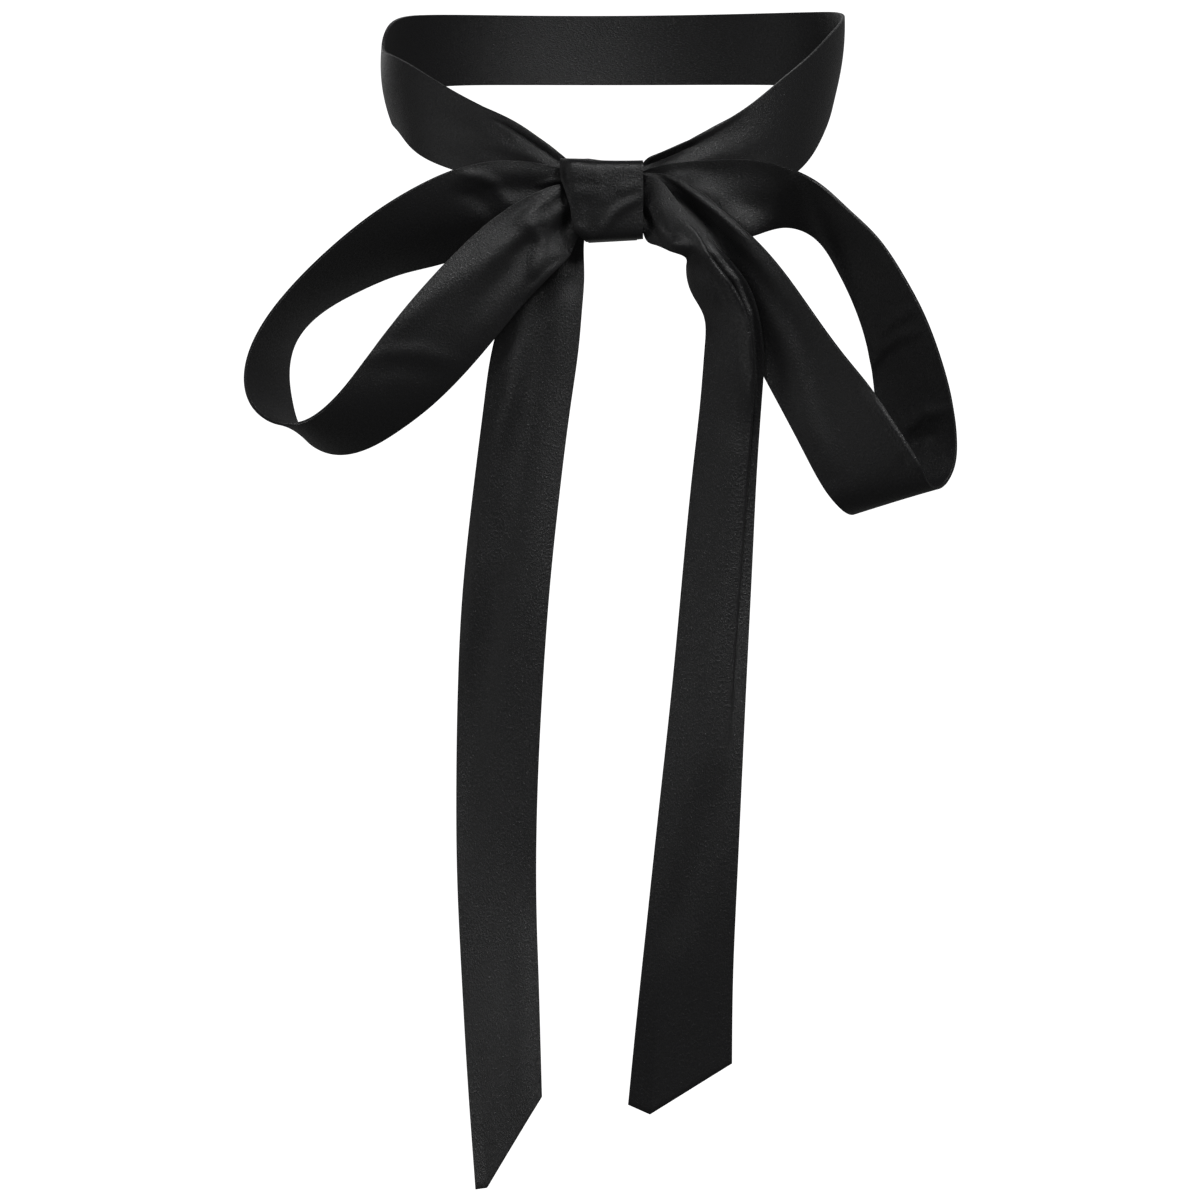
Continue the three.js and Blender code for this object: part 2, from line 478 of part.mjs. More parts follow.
// Wrap of the knot: a short flattened tube round the gathered strands, open at both sides
function knotGeometry() {
  const around = KNOT_AROUND;
  const slices = KNOT_SLICES;
  const heights = KNOT_LEFT_EDGE.map(([height]) => height);
  const leftEdge = curveThrough(heights, KNOT_LEFT_EDGE.map(([, x]) => x));
  const positions = [];
  const ring = (inset) => {
    for (const slice of slices) {
      for (let i = 0; i < around; i += 1) {
        const angle = (2 * Math.PI * i) / around;
        const front = Math.cos(angle);
        const up = Math.sin(angle);
        const span = Math.abs(front) ** KNOT_SQUARENESS + Math.abs(up) ** KNOT_SQUARENESS;
        const deep = front / span ** (1 / KNOT_SQUARENESS);
        const high = up / span ** (1 / KNOT_SQUARENESS);
        const isFront = THREE.MathUtils.smoothstep(deep, 0, KNOT_FRONT_FROM);
        const leftEnd = THREE.MathUtils.lerp(KNOT_LEFT_BACK, leftEdge(high), isFront);
        const rightEnd = THREE.MathUtils.lerp(KNOT_RIGHT_BACK, KNOT_RIGHT_FRONT, isFront);
        const x = THREE.MathUtils.lerp(leftEnd, rightEnd, slice);
        const waist = Math.sin(Math.PI * slice);
        const halfHigh = KNOT_HALF_HIGH + KNOT_LEAN * (1 - 2 * slice - waist * Math.max(high, 0));
        const fromEnd = (x - leftEnd) / KNOT_TUCK_REACH;
        const turned = 1 + KNOT_TUCK_ABOVE * THREE.MathUtils.smoothstep(high, ...KNOT_TUCK_RISE);
        const tuck = KNOT_TUCK * turned * isFront * Math.exp(-fromEnd * fromEnd);
        const swell = KNOT_SWELL * isFront * waist * (1 - high * high);
        positions.push(new THREE.Vector3(
          x,
          KNOT_MIDDLE_Y - deep * (KNOT_HALF_DEEP - inset) - swell + tuck,
          KNOT_MIDDLE_Z + high * (halfHigh - inset),
        ));
      }
    }
  };
  ring(0);
  ring(KNOT_WALL);
  const layer = slices.length * around;
  const at = (side, s, i) => side * layer + s * around + (i % around);
  const faces = [];
  const quad = (a, b, c, d) => faces.push([a, b, c], [a, c, d]);
  for (let i = 0; i < around; i += 1) {
    for (let s = 0; s < slices.length - 1; s += 1) {
      quad(at(0, s, i), at(0, s + 1, i), at(0, s + 1, i + 1), at(0, s, i + 1));
      quad(at(1, s, i), at(1, s, i + 1), at(1, s + 1, i + 1), at(1, s + 1, i));
    }
    const end = slices.length - 1;
    quad(at(0, 0, i), at(0, 0, i + 1), at(1, 0, i + 1), at(1, 0, i));
    quad(at(0, end, i), at(1, end, i), at(1, end, i + 1), at(0, end, i + 1));
  }
  return solid(positions, faces);
}

function piece(name, geometry, colour) {
  const look = { color: colour, roughness: SATIN_ROUGHNESS, metalness: 0 };
  const material = new THREE.MeshStandardMaterial(look);
  material.name = `${name}_satin`;
  const mesh = new THREE.Mesh(geometry, material);
  mesh.name = name;
  return mesh;
}

const tie = new THREE.Group();
tie.name = 'self_tie_bow_tie';
tie.add(piece('neck_band', walled(neckSurface(), WALL), SATIN));
const leftLoop = loopSurface(LEFT_LOOP, rowsAs(FOLD_COLUMNS, LEFT_LOOP_FOLDS));
const rightLoop = loopSurface(RIGHT_LOOP, rowsAs(FOLD_COLUMNS, RIGHT_LOOP_FOLDS));
const leftTail = tailSurface(LEFT_TAIL, rowsAs(FOLD_COLUMNS, LEFT_TAIL_FOLDS), EVEN, LEFT_CORNER);
const rightTail = tailSurface(RIGHT_TAIL, rowsAs(FOLD_COLUMNS, RIGHT_TAIL_FOLDS), PLEATED, RIGHT_CORNER);
tie.add(piece('left_loop', walled(leftLoop, WALL), SATIN));
tie.add(piece('right_loop', walled(rightLoop, WALL), SATIN));
tie.add(piece('left_tail', walled(leftTail, TAIL_WALL), SATIN));
tie.add(piece('right_tail', walled(rightTail, TAIL_WALL), SATIN));
tie.add(piece('knot', knotGeometry(), SATIN_EDGE));

export default tie;
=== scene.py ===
"""Self-tie bow tie in black satin ribbon, tied in a soft bow with two long slanted tails.

The ribbon is set out section by section, in millimetres, and each stretch of it is one sheet of cloth.
"""
import math

import bpy
import numpy as np
from bpy.props import FloatProperty, FloatVectorProperty, IntProperty, PointerProperty
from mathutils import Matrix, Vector


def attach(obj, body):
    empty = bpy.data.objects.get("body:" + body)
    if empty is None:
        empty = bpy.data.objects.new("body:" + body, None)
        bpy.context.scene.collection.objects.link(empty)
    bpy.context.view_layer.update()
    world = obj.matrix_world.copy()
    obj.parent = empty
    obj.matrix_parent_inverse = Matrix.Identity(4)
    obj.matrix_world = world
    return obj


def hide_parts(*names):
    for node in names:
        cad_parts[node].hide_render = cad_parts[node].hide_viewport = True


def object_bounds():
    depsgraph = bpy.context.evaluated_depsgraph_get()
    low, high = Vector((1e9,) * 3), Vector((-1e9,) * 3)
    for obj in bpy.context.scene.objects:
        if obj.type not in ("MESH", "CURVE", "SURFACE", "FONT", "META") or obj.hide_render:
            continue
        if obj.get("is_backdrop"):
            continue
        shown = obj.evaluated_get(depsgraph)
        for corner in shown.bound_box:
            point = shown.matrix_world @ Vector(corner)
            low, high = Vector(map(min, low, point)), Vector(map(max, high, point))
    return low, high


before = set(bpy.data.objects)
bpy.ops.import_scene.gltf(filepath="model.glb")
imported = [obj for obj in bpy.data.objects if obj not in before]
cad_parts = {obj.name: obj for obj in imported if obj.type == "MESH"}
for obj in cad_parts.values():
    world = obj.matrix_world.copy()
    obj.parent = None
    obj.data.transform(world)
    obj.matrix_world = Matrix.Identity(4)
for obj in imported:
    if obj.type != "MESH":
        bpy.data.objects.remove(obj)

CAD_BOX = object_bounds()

bl_info = {
    "name": "Self-tie bow tie",
    "version": (1, 0, 0),
    "blender": (4, 5, 0),
    "location": "View3D > Sidebar > Bow tie",
    "description": "Models a satin ribbon bow tie, its stage and its light",
    "category": "Add Mesh",
}

MM = 0.001

# The edges are set out as the front view shows them on the plane y = FRONT, in millimetres
FRONT = -70.0
EYE_X = -3.9
EYE_Z = -156.0
EYE_AWAY = 3000.0

# Widths of the cloth's own map
RIBBON_WIDTH = 28.0
KNOT_WIDTH = 23.0

# Rolled edges of the ribbon
EDGE_SEGMENTS = 2
EDGE_DEGREES = 60

# Neck ring
NECK_HALF_ACROSS = 70.5
NECK_HALF_DEEP = 61.0

# Knot, as a rounded box: its middle, its half sizes, and x of its ends in front and behind
KNOT_MIDDLE_Y = -67.0
KNOT_MIDDLE_Z = -36.0
KNOT_HALF_DEEP = 10.2
KNOT_HALF_HIGH = 12.2
KNOT_LEAN = 0.4
KNOT_SQUARENESS = 10
KNOT_RIGHT_FRONT = 9.0
KNOT_RIGHT_BACK = 7.2
KNOT_LEFT_BACK = -7.4
KNOT_SWELL = 0.4
# The left end of the front turns in: how deep, over what width, and how much more high up, from and to
KNOT_TUCK = 1.8
KNOT_TUCK_REACH = 1.8
KNOT_TUCK_MORE = 0.8
KNOT_TUCK_MORE_FROM, KNOT_TUCK_MORE_TO = 0.2, 0.6
# Shares of the half depth over which the ends behind pass into those in front, and over which folds rise
KNOT_FRONT_FROM, KNOT_FRONT_TO = 0.0, 0.5
KNOT_FOLDS_FROM, KNOT_FOLDS_TO = 0.2, 0.9
# The whole knot stands at one place along the ribbon, so that each of its folds counts
KNOT_FOLDS_PLACE = 50.0
KNOT_STEPS_AROUND = 150
KNOT_STEPS_ACROSS = 44
# Left end of the wrap in front: share of the half height, and x
KNOT_LEFT_EDGE = [
    (-1.0, -8.2), (-0.85, -10.6), (-0.6, -12.0), (-0.1, -13.0),
    (0.25, -14.4), (0.5, -15.4), (1.0, -15.7),
]

# One row for each section of a loop: rim x z y, inner edge x z y, crown, gather
LEFT_LOOP = [
    (-1.0, -28.5, -67.0, -1.0, -41.0, -67.0, 0.0, 0.6),
    (-8.0, -28.2, -68.6, -8.0, -42.0, -67.0, 0.0, 0.6),
    (-15.0, -26.6, -70.5, -14.5, -43.5, -66.6, 0.0, 0.5),
    (-29.0, -24.2, -71.4, -26.0, -46.5, -66.8, 0.2, 0.8),
    (-43.0, -25.5, -75.0, -38.0, -50.0, -64.0, 1.0, 0.5),
    (-57.0, -31.0, -80.0, -50.0, -54.5, -61.5, 1.8, 0.0),
    (-72.0, -40.2, -84.0, -63.0, -57.8, -60.0, 2.0, 0.0),
    (-86.0, -51.7, -86.0, -76.0, -63.0, -60.0, 1.8, 0.0),
    (-98.0, -64.0, -87.0, -88.0, -70.0, -60.0, 1.5, 0.0),
    (-106.5, -76.0, -87.5, -95.3, -78.5, -60.5, 1.2, 0.0),
    (-110.4, -88.5, -88.0, -97.4, -88.5, -61.5, 1.0, 0.0),
    (-108.0, -97.9, -88.5, -96.4, -97.0, -63.0, 0.8, 0.0),
    (-102.5, -102.3, -89.5, -94.6, -103.3, -65.0, 0.5, 0.0),
    (-97.0, -103.3, -90.5, -91.0, -108.6, -67.5, 0.2, 0.0),
    (-92.0, -102.2, -91.0, -84.8, -111.8, -70.0, -0.2, 0.0),
    (-86.0, -98.0, -90.5, -76.0, -111.2, -72.5, -0.6, 0.0),
    (-79.0, -90.2, -89.0, -65.0, -105.5, -74.5, -1.0, 0.0),
    (-70.0, -78.0, -86.0, -53.0, -96.3, -76.0, -1.4, 0.0),
    (-58.0, -63.3, -82.5, -38.5, -81.0, -76.5, -1.5, 0.2),
    (-45.0, -49.5, -79.0, -26.0, -66.0, -75.0, -1.2, 0.7),
    (-32.0, -38.7, -76.0, -16.5, -56.3, -73.2, -0.8, 1.1),
    (-22.0, -33.2, -74.2, -12.6, -51.8, -71.6, -0.4, 1.0),
    (-15.0, -31.2, -72.0, -11.2, -48.4, -71.0, 0.0, 0.7),
    (-8.0, -31.0, -70.6, -8.4, -45.0, -70.6, 0.0, 0.6),
    (-1.0, -31.0, -70.6, -1.0, -44.5, -70.6, 0.0, 0.6),
]
RIGHT_LOOP = [
    (1.0, -28.5, -63.6, 1.0, -41.0, -63.6, 0.0, 0.6),
    (6.0, -28.2, -63.6, 5.5, -42.0, -63.6, 0.0, 0.6),
    (12.0, -26.2, -66.0, 11.0, -44.0, -64.6, 0.0, 0.7),
    (23.0, -24.4, -68.0, 20.0, -46.8, -65.5, 0.0, 0.9),
    (36.5, -23.8, -71.5, 31.5, -48.3, -68.6, 0.4, 0.5),
    (49.0, -25.3, -75.8, 42.5, -46.7, -68.4, 1.0, 0.2),
    (60.0, -30.0, -80.4, 51.0, -44.2, -65.0, 1.6, 0.0),
    (70.0, -38.5, -83.2, 60.8, -47.5, -61.0, 1.8, 0.0),
    (79.0, -47.2, -83.5, 67.0, -56.3, -59.5, 1.8, 0.0),
    (86.5, -58.0, -82.6, 71.8, -66.2, -61.5, 1.6, 0.0),
    (93.0, -70.0, -81.8, 75.6, -77.0, -63.5, 1.4, 0.0),
    (98.0, -83.0, -81.2, 78.0, -89.0, -64.5, 1.2, 0.0),
    (101.5, -96.0, -81.0, 79.0, -100.0, -65.5, 1.0, 0.0),
    (103.0, -108.0, -81.2, 79.0, -109.0, -66.5, 0.8, 0.0),
    (102.2, -116.3, -82.5, 77.5, -117.5, -68.0, 0.6, 0.0),
    (99.8, -120.8, -84.5, 75.3, -124.5, -67.5, 0.3, 0.0),
    (97.3, -122.3, -87.5, 73.0, -129.4, -71.0, 0.0, 0.0),
    (95.0, -121.3, -90.0, 70.6, -129.9, -75.5, 0.0, 0.0),
    (92.5, -116.3, -91.5, 67.6, -127.8, -79.0, -0.3, 0.0),
    (87.5, -107.8, -91.5, 63.5, -122.8, -80.0, -0.6, 0.0),
    (79.0, -94.7, -90.0, 56.5, -110.0, -79.0, -1.0, 0.0),
    (69.0, -82.2, -87.5, 48.5, -95.0, -77.0, -1.2, 0.0),
    (57.5, -66.3, -84.5, 39.5, -78.0, -74.5, -1.0, 0.4),
    (46.0, -51.3, -81.0, 30.5, -62.0, -72.0, -0.6, 0.7),
    (34.0, -39.7, -77.5, 21.5, -52.3, -70.8, -0.3, 0.9),
    (23.0, -31.3, -74.0, 14.5, -47.0, -70.6, 0.0, 0.9),
    (13.5, -28.0, -71.4, 9.5, -44.6, -70.8, 0.0, 0.7),
    (6.0, -28.0, -71.3, 5.0, -43.8, -71.3, 0.0, 0.6),
    (1.0, -28.0, -71.3, 1.0, -43.5, -71.3, 0.0, 0.6),
]

# One row for each section of the band: degrees, height and stand-off of the top edge, the same of the
# low edge, crown, gather
NECK_RIGHT = [
    (0.8, -28.5, 0.0, 0.8, -39.0, 0.0, 0.0, 0.6),
    (5.0, -27.8, 0.0, 5.0, -39.0, 0.0, 0.0, 0.6),
    (7.6, -24.5, 0.0, 8.0, -38.8, 0.0, 0.0, 0.5),
    (9.6, -22.5, 0.0, 12.0, -38.4, 0.0, 0.0, 0.7),
    (15.5, -19.3, 0.0, 19.0, -37.5, 0.0, 0.0, 0.8),
    (25.0, -13.7, 0.0, 31.0, -35.0, 0.0, -0.4, 0.6),
    (35.2, -7.0, 0.0, 43.0, -31.0, 0.0, -0.8, 0.2),
    (46.2, 1.5, 0.0, 54.5, -25.0, -0.8, -1.0, 0.0),
    (57.0, 8.8, 0.2, 64.5, -18.0, -2.0, -1.0, 0.0),
    (68.5, 16.0, 0.4, 75.0, -9.2, -2.5, -1.0, 0.0),
    (81.0, 21.2, 0.5, 86.0, -3.0, -3.0, -1.0, 0.0),
    (96.0, 24.4, 0.0, 98.5, 0.5, -2.5, -1.0, 0.0),
    (118.0, 26.2, 0.0, 119.0, 3.2, -1.5, -0.6, 0.0),
    (148.0, 26.9, 0.0, 148.0, 4.8, -0.5, -0.3, 0.0),
]
NECK_BACK = (180.0, 26.9, 0.0, 180.0, 5.2, 0.0, -0.2, 0.0)
NECK_LEFT = [
    (-0.8, -28.5, 0.0, -0.8, -39.0, 0.0, 0.0, 0.6),
    (-6.0, -28.4, 0.0, -6.0, -39.0, 0.0, 0.0, 0.6),
    (-8.8, -26.3, 0.0, -9.2, -38.4, 0.0, 0.0, 0.6),
    (-12.0, -22.6, 0.0, -13.5, -37.0, 0.0, 0.0, 0.7),
    (-17.0, -18.0, 0.0, -20.0, -34.5, 0.0, 0.0, 0.8),
    (-24.0, -12.4, 0.0, -29.5, -30.5, 0.0, -0.2, 0.7),
    (-32.5, -7.6, 0.0, -39.5, -27.0, 0.0, -0.6, 0.5),
    (-42.0, -2.6, 0.0, -50.0, -23.4, 0.0, -0.8, 0.2),
    (-53.0, 3.2, 0.0, -60.5, -18.6, -0.6, -1.0, 0.0),
    (-64.0, 8.0, 0.2, -70.5, -13.4, -1.8, -1.2, 0.0),
    (-76.0, 11.0, 0.2, -81.0, -10.4, -2.6, -1.4, 0.0),
    (-90.0, 14.2, 0.0, -93.0, -7.4, -3.0, -1.4, 0.0),
    (-104.0, 21.6, 0.0, -107.0, -1.5, -2.5, -1.2, 0.0),
    (-124.0, 25.6, 0.0, -125.0, 3.0, -1.5, -0.8, 0.0),
    (-150.0, 26.6, 0.0, -150.0, 4.8, -0.5, -0.3, 0.0),
]

# One row for each section of a tail: left edge x z y, right edge x z y, crown, gather, knife pleat
LEFT_TAIL = [
    (-4.0, -34.0, -64.2, -3.0, -44.0, -64.2, 0.0, 0.5, 0),
    (-10.5, -36.0, -63.9, -7.4, -45.6, -64.0, 0.0, 0.5, 0),
    (-18.0, -43.0, -62.6, -8.8, -50.0, -63.4, 0.0, 0.6, 0),
    (-25.0, -53.0, -63.2, -8.6, -58.5, -64.6, 0.3, 0.6, 0),
    (-31.5, -66.0, -64.6, -9.2, -68.0, -65.8, 0.6, 0.2, 0),
    (-35.8, -79.0, -65.2, -10.2, -79.5, -66.6, 0.8, 0.0, 0),
    (-38.6, -97.0, -65.6, -12.6, -97.0, -68.0, 1.2, 0.0, 0),
    (-41.8, -124.0, -66.0, -16.0, -124.0, -70.8, 1.6, 0.0, 0),
    (-44.8, -153.0, -67.0, -19.0, -153.0, -73.8, 1.6, 0.0, 0),
    (-46.5, -185.0, -69.4, -21.3, -185.0, -76.2, 1.0, 0.0, 0),
    (-47.0, -215.0, -73.0, -22.7, -215.0, -78.2, 0.6, 0.0, 0),
    (-46.5, -245.0, -77.6, -23.0, -245.0, -81.0, 0.4, 0.0, 0),
    (-45.2, -272.0, -82.4, -22.4, -266.0, -84.0, 0.4, 0.0, 0),
    (-43.4, -303.0, -88.2, -21.8, -286.0, -87.6, 0.5, 0.0, 0),
    (-41.3, -332.8, -94.4, -21.3, -305.0, -91.4, 0.6, 0.0, 0),
]
RIGHT_TAIL = [
    (1.0, -43.4, -74.0, 1.0, -28.2, -74.0, 0.0, 0.5, 0),
    (8.0, -42.4, -73.5, 8.0, -28.4, -73.5, 0.0, 0.4, 0),
    (10.1, -47.8, -73.8, 10.2, -28.6, -74.2, 0.6, 0.4, 0),
    (12.7, -49.4, -75.4, 13.0, -29.4, -75.0, 1.4, 0.4, 0),
    (17.5, -51.3, -78.0, 19.0, -36.2, -77.6, 1.4, 0.1, 0),
    (21.6, -53.0, -77.6, 25.2, -43.8, -80.0, 1.2, 0.0, 0.2),
    (22.4, -57.5, -70.0, 31.0, -52.0, -82.0, 2.6, 0.0, 0.7),
    (24.0, -63.8, -69.5, 37.3, -60.3, -83.2, 2.6, 0.0, 1),
    (27.5, -70.5, -71.5, 41.2, -69.0, -83.6, 1.4, 0.0, 1),
    (27.8, -80.0, -74.0, 43.5, -80.0, -83.6, 0.8, 0.0, 1),
    (26.6, -94.0, -75.6, 43.7, -94.0, -82.2, 0.6, 0.0, 1),
    (24.2, -116.0, -76.6, 42.7, -116.0, -81.2, 1.0, 0.0, 0.9),
    (21.2, -146.0, -78.8, 41.5, -146.0, -82.4, 1.2, 0.0, 0.65),
    (18.0, -180.0, -82.6, 40.0, -180.0, -85.2, 1.0, 0.0, 0.3),
    (14.3, -214.0, -86.4, 38.5, -214.0, -88.2, 0.6, 0.0, 0.05),
    (10.6, -248.0, -88.8, 37.1, -244.0, -89.4, 0.2, 0.0, 0),
    (7.2, -280.0, -89.0, 36.0, -271.0, -88.8, 0.0, 0.0, 0),
    (4.5, -307.4, -88.2, 35.7, -295.0, -87.4, 0.0, 0.0, 0),
]
# The slanted ends hang lowest a little way in from their left corner: share of the width, and how far
LEFT_CORNER = (0.175, 4.4)
RIGHT_CORNER = (0.21, 5.5)
CORNER_REACH = 40.0

# Knife pleat: where it lies as a share of the width, its reach, how far the fold lies back, how high its
# layers stand and how sharply, and the least pleat that crowds the strips
PLEAT_AT = 0.815
PLEAT_REACH = 0.06
PLEAT_BACK = 2.4
PLEAT_LAYERS = 3.2
PLEAT_SHARPNESS = 1.1
PLEAT_LEAST = 0.1
# Strips lie closer together near the pleat: by how much, and where they lie widest
CROWDING = 0.05
CROWDING_AT = 0.13

GATHER_FOLDS = 2
GATHER_DEPTH = 0.7

# A fold rises and dies away over this share of its line, and over these millimetres along the ribbon
FOLD_FADE = 0.3
FOLD_OVERRUN = 0.02
FOLD_RAMP = 6

# Folds and dents of each stretch, as the front view shows them: the part of the ribbon that has them (mm
# along it, from and to), half width, height towards the viewer, and the points (x, z) that they follow
LEFT_LOOP_FOLDS = [
    (160, 275, 2.0, 1.2, ((-12, -33), (-16, -33.4), (-22, -37.3), (-30, -44.3))),
    (160, 275, 4.5, 1.3, ((-24, -39.5), (-38, -52), (-54, -64.5), (-72, -80))),
    (180, 275, 2.4, 1.2, ((-20, -40), (-23.6, -44), (-21.6, -49), (-24.5, -60))),
    (180, 275, 3.0, -1.5, ((-11, -41), (-14.5, -45), (-13.5, -52))),
    (180, 275, 2.2, -0.7, ((-18, -38), (-24, -46.5), (-32, -54))),
    (150, 240, 2.2, 0.5, ((-76, -84), (-68, -81.5), (-58, -81.5), (-46, -85))),
    (150, 240, 2.6, -0.3, ((-74, -88.5), (-64, -86.5), (-52, -88.5))),
    (180, 275, 1.2, 0.6, ((-14, -53.5), (-20, -58.5), (-27, -65.5))),
    (0, 120, 1.6, 0.9, ((-47, -28), (-40, -29), (-35.5, -31), (-34, -34), (-30.5, -38))),
    (0, 120, 2.6, -0.8, ((-50, -33), (-42, -34.5), (-38, -38), (-34, -43))),
    (0, 60, 0.9, 0.5, ((-13, -30.2), (-18, -30.3), (-23, -31.5))),
    (60, 140, 3.0, 0.5, ((-100, -72), (-95, -79), (-93, -90))),
]
RIGHT_LOOP_FOLDS = [
    (0, 120, 5.0, 2.6, ((14, -30.5), (24, -34), (34, -40.5), (44, -48), (50, -52))),
    (0, 120, 2.0, -0.9, ((12, -31), (20, -36), (27, -42.5))),
    (30, 140, 2.8, 1.7, ((54, -27), (58.5, -33.5), (63, -44), (68, -57), (72, -68))),
    (60, 160, 1.8, 1.1, ((76, -88), (81, -80.5), (86, -77), (93, -75))),
    (60, 160, 1.6, 0.9, ((78, -79), (84, -72.5), (91, -68))),
    (80, 170, 2.2, 1.1, ((82, -114), (88, -104.5), (94, -100), (102, -99))),
    (80, 170, 2.0, -0.7, ((86, -116), (92, -108), (101, -105))),
    (170, 300, 4.5, 1.4, ((36, -46), (45, -60), (52, -78), (59, -104), (66, -120))),
    (200, 300, 2.6, -1.2, ((13, -29.5), (20, -34.5), (29, -46), (38, -60), (45, -76))),
    (200, 300, 0.9, 0.6, ((12, -26.5), (20, -31), (31, -39.5), (41, -48.5))),
    (160, 260, 1.1, 1.2, ((75.8, -92.5), (86.3, -108), (94.8, -121.5))),
]
NECK_FOLDS = [
    (0, 80, 0.9, 0.8, ((7, -24.9), (15, -21.8), (20, -19.6), (25, -17.3), (31, -14.2), (40, -8.6))),
    (0, 60, 1.3, -1.3, ((7, -26.5), (14, -24), (19, -21.8), (25, -18.9))),
    (0, 70, 2.4, 0.4, ((13, -27), (24, -24.5), (34, -19.5))),
    (370, 440, 0.9, 0.6, ((-40, -8.3), (-30, -13.1), (-25, -16.3), (-20, -19.8), (-15, -24.4))),
    (370, 440, 0.8, -0.7, ((-36, -11.3), (-30, -14.7), (-25, -17.9), (-20, -21.4), (-15.5, -25))),
    (370, 440, 1.6, 0.35, ((-33, -13.5), (-29, -18.5), (-25, -20.9), (-18, -23.3))),
    (370, 440, 1.4, 0.3, ((-38, -17.5), (-30, -21.3), (-20, -24))),
]
LEFT_TAIL_FOLDS = [
    (30, 320, 3.6, 1.5, ((-25, -62), (-28, -75), (-31.5, -95), (-36.5, -112), (-40, -132), (-44.5, -178))),
    (30, 320, 4.4, -1.4, ((-20, -66), (-22, -80), (-28, -120), (-37, -170), (-43, -208), (-45.5, -236))),
    (30, 120, 2.8, 0.3, ((-12, -55), (-15, -70), (-18, -90))),
    (180, 330, 3.4, 0.5, ((-26.5, -250), (-27, -280), (-27.5, -312))),
]
RIGHT_TAIL_FOLDS = [
    (0, 140, 1.8, 0.7, ((13, -33), (22.2, -44.2), (29.8, -53.9), (35.6, -61), (39.5, -71), (41, -96))),
    (0, 140, 1.0, 0.6,
     ((19, -38), (23.3, -43.4), (31, -53.2), (36.8, -60.3), (40.6, -70), (42, -92), (42, -100))),
    (0, 140, 0.6, 0.45, ((34, -57), (36.8, -60.3), (40.6, -70), (42, -92), (42, -100))),
    (0, 60, 2.4, -0.8, ((9, -40), (13, -45), (18.5, -49))),
    (20, 90, 2.4, -0.7, ((12, -56.5), (20, -56), (26, -56.2), (29.5, -58.5), (33, -64), (35, -72))),
    (20, 90, 2.0, 1.2, ((9, -45), (17.5, -48.8), (24, -50.4), (29.5, -53), (34, -59.5), (37, -70))),
    (0, 60, 1.1, 0.6, ((7, -36), (10.6, -38.4), (14.6, -45.6), (19.5, -51))),
    (90, 260, 4.2, 0.6, ((36.5, -86), (36.5, -112), (33, -150), (28, -190), (22, -222))),
    (140, 320, 5.0, -0.6, ((33, -205), (26, -232), (16, -262))),
]
KNOT_FOLDS = [
    (0, 99, 1.3, 1.0, ((-13.2, -33), (-12.6, -38), (-11.6, -43), (-9.4, -47), (-7, -49))),
    (0, 99, 1.3, -0.12, ((-16.5, -31.4), (-12, -31), (-6.5, -31.2), (-2, -32))),
    (0, 99, 1.6, 0.5, ((-3, -49.5), (-2.2, -44), (-0.2, -40.6), (3, -38), (10, -34.4))),
    (0, 99, 1.8, 0.2, ((-5, -25.5), (-4, -31), (-3.2, -38))),
    (0, 99, 2.4, -0.4, ((-8.5, -34), (-7.5, -41), (-6, -48))),
    (0, 99, 2.2, 0.3, ((0.5, -33.5), (5, -32.3), (10, -32))),
]

# Satin: the grain and the long threads are noise over the cloth's map, stretched by these scales
GRAIN_SCALE = (1.7, 1.2, 1.0)
GRAIN_DETAIL = 3.0
GRAIN_ROUGHNESS = 0.75
GRAIN_STRENGTH = 0.9
GRAIN_DEPTH = 0.00023
THREAD_SCALE = (5.0, 0.5, 1.0)
THREAD_DETAIL = 2.0
THREAD_ROUGHNESS = 0.5
THREAD_STRENGTH = 0.25
THREAD_DEPTH = 0.00008
# Parts of the grain that carry the pale threads, and that carry the change in gloss
PALE_FROM, PALE_TO = 0.42, 0.68
GLOSS_FROM, GLOSS_TO = 0.42, 0.62
# Roughness above and below the cloth's own
DULL_MORE = 0.09
GLOSSY_LESS = 0.12
# What the satin face is, by the names of the shader's inputs
SATIN_FACE = {
    "Anisotropic": 0.5,
    "Specular IOR Level": 0.5,
    "IOR": 1.5,
    "Sheen Weight": 0.03,
    "Sheen Roughness": 0.45,
}

# Backdrop: a round cove, with a floor, a bend and a wall, in metres
COVE_BEND = 0.8
COVE_REACH = 5.0
COVE_WALL = 4.0
COVE_CENTRE = 0.01
COVE_STEPS_AROUND = 96
COVE_STEPS_UP = 40
COVE_PALE = 0.93
COVE_ROUGHNESS = 0.9
COVE_GLOW = 1.0
WORLD_LIGHT = 0.10

# Lights: name, place, width, power
LIGHTS_AIM = (0, -0.07, -0.15)
LIGHTS = [
    ("left key", (-0.5, -2.2, 1.5), 0.55, 11.0),
    ("right key", (1.1, -2.2, 1.4), 0.45, 12.0),
    ("left light", (-2.2, -0.7, 0.2), 1.6, 2.2),
    ("right light", (2.2, -0.7, 0.2), 1.6, 1.6),
    ("edge light", (1.14, -1.65, 2.05), 0.3, 20.0),
    ("back light", (-0.9, 2.8, 1.1), 2.0, 7.0),
    ("low light", (-2.4, -0.3, -0.7), 1.4, 4.5),
    ("front fill", (0.0, -3.4, 0.2), 1.8, 1.0),
]
LENS = 300
SENSOR = 36
FARTHEST = 20


